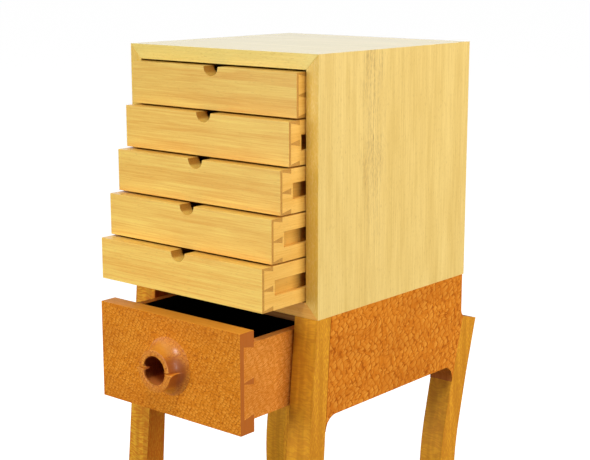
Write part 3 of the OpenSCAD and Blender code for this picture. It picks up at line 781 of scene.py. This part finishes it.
class CABINET_OT_pull(bpy.types.Operator):
    """Turns and carves the hollow pull from the drawer front's own lacewood"""
    bl_idname = "cabinet.pull"
    bl_label = "Pull"

    def execute(self, context):
        woods, shapes = context.scene.cabinet_woods, context.scene.cabinet_shapes
        low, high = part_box("deep_front")
        front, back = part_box("pull")
        sizes = {"Length": low.y - front.y, "Upper lip": shapes.lip_r, "Lip step": shapes.lip_step,
                 "Lip curl": shapes.lip_curl, "Flare": shapes.base_r, "Bore": shapes.bore_r,
                 "Bore depth": shapes.bore_depth, "Bore ridge": shapes.bore_ridge, "Slit": shapes.slit,
                 "Spigot": shapes.spigot_r, "Spigot length": back.y - low.y, "Hole": shapes.hole_r,
                 "Hole length": shapes.hole_length, "Face": low.y, "Height": (low.z + high.z) / 2}
        # Burnished on the lathe, so the lamps show as soft spots on the horn
        material = front_lacewood(woods, "polished_lacewood_pull", roughness=0.35, gloss=0.1, relief=0.02,
                                  coat=0.7, coat_blur=0.27)
        # Painted shade: the bore is given a darker lacewood, for the shade deep inside it
        bore_painted_shade = lacewood("lacewood_bore_painted_shade", "X", linear("#C46C2E"), linear("#D47E3A"),
                          linear("#964C1C"), (6, 1.5, 4), linear("#6A3012"), relief=0.02)
        mesh = grown("pull_carved", horn_tree(sizes, shapes.around, material), sizes)
        rim = sizes["Face"] - sizes["Length"]
        bm = bmesh.new()
        bm.from_mesh(mesh)
        bmesh.ops.recalc_face_normals(bm, faces=bm.faces)
        edges = [e for e in bm.edges if all(near(v.co.y, rim, 0.01 * MM) for v in e.verts)
                 and e.is_convex and e.calc_face_angle() > ARRIS]
        bmesh.ops.bevel(bm, geom=edges, offset=shapes.rim_ease, segments=3, profile=0.5, affect="EDGES",
                        clamp_overlap=True)
        bm.to_mesh(mesh)
        bm.free()
        dressed(mesh, "pull", material, smooth=38)
        mesh.materials.append(bore_painted_shade)
        # The painted shade runs from 2 mm inside the rim to the bore's bottom
        for face in mesh.polygons:
            spot = face.center - Vector((0, rim, sizes["Height"]))
            inward = face.normal.x * spot.x + face.normal.z * spot.z < 1e-6 and face.normal.y < 0.5
            face.material_index = int(inward and 2 * MM < spot.y < sizes["Bore depth"] + 1 * MM)
        return {"FINISHED"}


def screw_tree(sizes, material):
    """One countersunk screw with a cross recess, set on every point along its aim.

    Shank is the shank's radius. The head is as high, and twice as wide."""
    tree, size = new_tree("countersunk_screws", sizes)
    wide = add(tree, MATH, size["Shank"], 2.0, operation="MULTIPLY")
    head = add(tree, "GeometryNodeMeshCone", named={
        "Vertices": 32, "Radius Top": size["Shank"], "Radius Bottom": wide, "Depth": size["Shank"]})
    narrow = add(tree, MATH, size["Shank"], 0.45, operation="MULTIPLY")
    slots = [add(tree, "GeometryNodeMeshCube", add(tree, "ShaderNodeCombineXYZ", *sides, size["Recess"]))
             for sides in ((wide, narrow), (narrow, wide))]
    crossed = add(tree, "GeometryNodeMeshBoolean", head, slots, operation="DIFFERENCE", solver="EXACT")
    point = add(tree, "GeometryNodeMeshCone", named={
        "Vertices": 20, "Radius Top": add(tree, MATH, size["Shank"], 0.12, operation="MULTIPLY"),
        "Radius Bottom": size["Shank"], "Depth": wide})
    point_at = add(tree, MATH, size["Length"], wide, operation="SUBTRACT")
    shank = add(tree, "GeometryNodeMeshCylinder", named={
        "Vertices": 20, "Radius": size["Shank"],
        "Depth": add(tree, MATH, point_at, size["Shank"], operation="SUBTRACT")})
    middle = add(tree, MATH, add(tree, MATH, size["Length"], size["Shank"], operation="SUBTRACT"), 2.0,
                 operation="DIVIDE")
    raised = [add(tree, "GeometryNodeTransform", part, add(tree, "ShaderNodeCombineXYZ", 0.0, 0.0, height))
              for part, height in ((shank, middle), (point, point_at))]
    screw = add(tree, "GeometryNodeJoinGeometry", [crossed] + raised)
    aim = add(tree, "GeometryNodeInputNamedAttribute", "aim", data_type="FLOAT_VECTOR")
    way = add(tree, "FunctionNodeAlignRotationToVector", named={"Vector": aim}, axis="Z")
    every = add(tree, "GeometryNodeInstanceOnPoints", size["Geometry"],
                named={"Instance": screw, "Rotation": way})
    finish_tree(tree, every, material)
    return tree


def screw_seats(node):
    """Each screw of a CAD node as (middle of its head, direction of its point), and the sizes of one."""
    bm = solid_mesh(node)
    done, seats = set(), []
    for first in bm.verts:
        if first in done:
            continue
        island, reached = set(), [first]
        while reached:
            vert = reached.pop()
            if vert not in island:
                island.add(vert)
                reached.extend(e.other_vert(vert) for e in vert.link_edges)
        done |= island
        low = Vector(min(v.co[k] for v in island) for k in range(3))
        high = Vector(max(v.co[k] for v in island) for k in range(3))
        size, middle = high - low, (low + high) / 2
        k = max(range(3), key=lambda n: size[n])
        # The head's rim is the widest part, and the point aims away from it
        widest = max(island, key=lambda v: (v.co - middle).length_squared - (v.co[k] - middle[k]) ** 2)
        aim = Vector((0, 0, 0))
        aim[k] = -1 if widest.co[k] > middle[k] else 1
        seats.append((tuple(middle - aim * size[k] / 2), tuple(aim)))
        sizes = {"Shank": min(size) / 4, "Length": size[k]}
    bm.free()
    return seats, sizes


# The deepest cross that a screw's head takes, as a share of the head's height
DEEPEST_CROSS = 0.6


class CABINET_OT_screws(bpy.types.Operator):
    """Puts cross-recessed screws in their seats"""
    bl_idname = "cabinet.screws"
    bl_label = "Screws"

    def execute(self, context):
        material = zinc_plated()
        for node in ("runner_screws", "case_screws"):
            seats, sizes = screw_seats(node)
            depth = min(context.scene.cabinet_shapes.recess, DEEPEST_CROSS * sizes["Shank"])
            # The cutter is centred on the top of the head, so only half of it cuts
            sizes["Recess"] = 2 * depth
            mesh = grown(node + "_crossed", screw_tree(sizes, material), sizes, seats)
            dressed(mesh, node, material, smooth=30)
        paint(["pull_screw"], material)
        return {"FINISHED"}


# The camera: its place, how far it looks down, how far it is turned from facing the front, and its lens
CAMERA_PLACE = (1.4244, -1.6480, 1.0596)
CAMERA_DROP = math.radians(11.63)
CAMERA_TURN = math.radians(40.216)
CAMERA_LENS = 80.66
# What the lamps point at
AIM = Vector((0, 0, 0.5))


class CABINET_OT_stage(bpy.types.Operator):
    """Adds the floor, the lamps, the even light and the camera"""
    bl_idname = "cabinet.stage"
    bl_label = "Stage"

    def execute(self, context):
        settings = context.scene.cabinet_stage
        stage_floor(settings)
        lamp("right_lamp", (3.7, 1.0, 1.45), 2.6, settings.right)
        lamp("left_lamp", (-1.15, -3.8, 0.45), 2.4, settings.left)
        lamp("top_lamp", (0.75, -1.3, 3.0), 0.7, settings.top)
        even_light(context.scene, settings.sky)
        camera = bpy.data.objects.new("camera", bpy.data.cameras.new("camera"))
        context.scene.collection.objects.link(camera)
        camera.location = CAMERA_PLACE
        camera.rotation_euler = (math.radians(90) - CAMERA_DROP, 0, CAMERA_TURN)
        camera.data.lens = CAMERA_LENS
        context.scene.camera = camera
        context.scene.view_settings.view_transform = "Standard"
        return {"FINISHED"}


def stage_floor(settings):
    """Matt white paper: it looks white even where only the even light reaches it, and keeps the shadow."""
    bm = bmesh.new()
    bmesh.ops.create_grid(bm, x_segments=1, y_segments=1, size=40)
    mesh = bpy.data.meshes.new("floor")
    bm.to_mesh(mesh)
    bm.free()
    material, tree = new_material("matt_white_floor")
    seen = add(tree, "ShaderNodeLightPath").outputs["Is Camera Ray"]
    # Light that bounces off the floor finds it darker, so that the object isn't lit from below
    matt = add(tree, "ShaderNodeBsdfDiffuse",
               add(tree, MIX, seen, linear("#909090"), settings.floor, data_type="RGBA"))
    # The floor gives back about 0.8 of the even light, and the glow makes that up to white
    level = add(tree, MATH, seen, 1.0 - 0.8 * settings.sky, operation="MULTIPLY")
    glow = add(tree, "ShaderNodeEmission", (1, 1, 1, 1), level)
    add(tree, "ShaderNodeOutputMaterial", add(tree, "ShaderNodeAddShader", matt, glow))
    mesh.materials.append(material)
    floor = bpy.data.objects.new("floor", mesh)
    bpy.context.scene.collection.objects.link(floor)


def lamp(name, place, size, power):
    """A large square lamp aimed at the middle of the cabinet."""
    data = bpy.data.lights.new(name, "AREA")
    data.size = size
    data.energy = power
    item = bpy.data.objects.new(name, data)
    bpy.context.scene.collection.objects.link(item)
    item.location = place
    item.rotation_euler = (AIM - item.location).to_track_quat("-Z", "Y").to_euler()


def even_light(scene, level):
    """White to the eye and in reflections, and at the given level as light."""
    world = bpy.data.worlds.new("even_light")
    world.use_nodes = True
    tree = world.node_tree
    tree.nodes.clear()
    path = add(tree, "ShaderNodeLightPath")
    mirrored = add(tree, MATH, path.outputs["Is Glossy Ray"], path.outputs["Is Transmission Ray"],
                   operation="MAXIMUM")
    seen = add(tree, MATH, path.outputs["Is Camera Ray"], mirrored, operation="MAXIMUM")
    strength = add(tree, RANGE, seen, 0.0, 1.0, level, 1.0)
    add(tree, "ShaderNodeOutputWorld", add(tree, "ShaderNodeBackground", (1, 1, 1, 1), strength))
    scene.world = world


class CABINET_PT_panel(bpy.types.Panel):
    """Lists the pieces and their settings"""
    bl_idname = "CABINET_PT_panel"
    bl_label = "Cabinet"
    bl_space_type = "VIEW_3D"
    bl_region_type = "UI"
    bl_category = "Cabinet"

    def draw(self, context):
        for item in OPERATORS:
            self.layout.operator(item.bl_idname)
        for group in GROUPS:
            settings = getattr(context.scene, group)
            for name in settings.bl_rna.properties.keys():
                if name not in ("rna_type", "name"):
                    self.layout.prop(settings, name)


OPERATORS = (CABINET_OT_case, CABINET_OT_small_drawers, CABINET_OT_deep_drawer, CABINET_OT_pull,
             CABINET_OT_stand, CABINET_OT_screws, CABINET_OT_stage)
GROUPS = {"cabinet_woods": CabinetWoods, "cabinet_shapes": CabinetShapes, "cabinet_stage": CabinetStage}
CLASSES = tuple(GROUPS.values()) + OPERATORS + (CABINET_PT_panel,)


def register():
    for item in CLASSES:
        bpy.utils.register_class(item)
    for name, group in GROUPS.items():
        setattr(bpy.types.Scene, name, PointerProperty(type=group))


def unregister():
    for name in GROUPS:
        delattr(bpy.types.Scene, name)
    for item in reversed(CLASSES):
        bpy.utils.unregister_class(item)


def main():
    register()
    bpy.ops.cabinet.case()
    bpy.ops.cabinet.small_drawers()
    bpy.ops.cabinet.deep_drawer()
    bpy.ops.cabinet.pull()
    bpy.ops.cabinet.stand()
    bpy.ops.cabinet.screws()
    bpy.ops.cabinet.stage()


if __name__ == "__main__":
    main()
